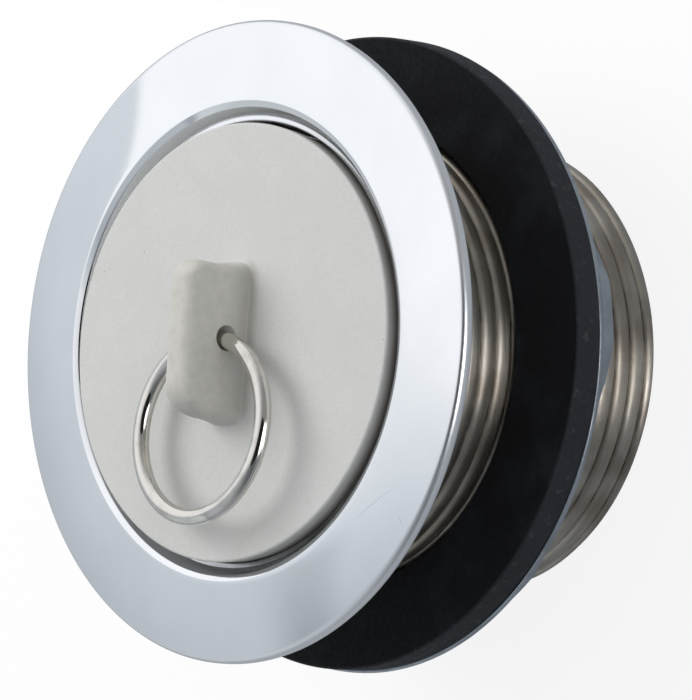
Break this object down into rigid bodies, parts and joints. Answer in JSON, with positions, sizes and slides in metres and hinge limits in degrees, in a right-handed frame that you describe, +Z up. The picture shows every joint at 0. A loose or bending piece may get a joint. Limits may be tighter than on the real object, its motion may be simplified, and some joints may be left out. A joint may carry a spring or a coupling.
{
  "type": "bath waste with plug",
  "caption": "Chromed bath drain fitting with a rubber plug in its seat, a wire pull ring, and a rubber washer, slip ring and hexagon backnut on its threaded tail.",
  "frame": {"origin": "on the drain axis, in the plane of the flange's underside, which rests on the bath", "axes": "+Z up along the drain axis, from the tail to the plug; the plug's lug runs along X and the ring hangs to -X"},
  "size_m": [0.0702, 0.07, 0.0487],
  "materials": {
    "plated_brass": "bright chrome on the flange and seat, nickel on the tail",
    "pale_rubber": "matt pale grey rubber",
    "ring_wire": "bright nickel plated wire",
    "black_rubber": "matt black rubber",
    "zinc_sheet": "zinc plated steel sheet",
    "zinc_nut": "zinc plated steel"
  },
  "bodies": {
    "waste": {"waste_body": "plated_brass"},
    "plug": {"rubber_plug": "pale_rubber"},
    "ring": {"pull_ring": "ring_wire"},
    "seal": {"sealing_washer": "black_rubber", "slip_ring": "zinc_sheet"},
    "nut": {"backnut": "zinc_nut"}
  },
  "joints": [
    {"name": "plug_lift", "type": "slide", "parent": "waste", "child": "plug", "axis": [0, 0, 1], "range_m": [0, 0.04]},
    {"name": "ring_swing", "type": "hinge", "parent": "plug", "child": "ring", "pos_m": [0, 0, 0.0052], "axis": [0, 1, 0], "range_deg": [-8, 180]},
    {"name": "seal_slide", "type": "slide", "parent": "waste", "child": "seal", "axis": [0, 0, 1], "range_m": [-0.0133, 0.0106]},
    {"name": "nut_turn", "type": "hinge", "parent": "seal", "child": "nut", "pos_m": [0, 0, -0.02185], "axis": [0, 0, 1], "range_deg": [-2076, 1655]}
  ],
  "couplings": [
    {"joint": "nut_turn", "follows": "seal_slide", "rad_per_m": 2721.2}
  ]
}
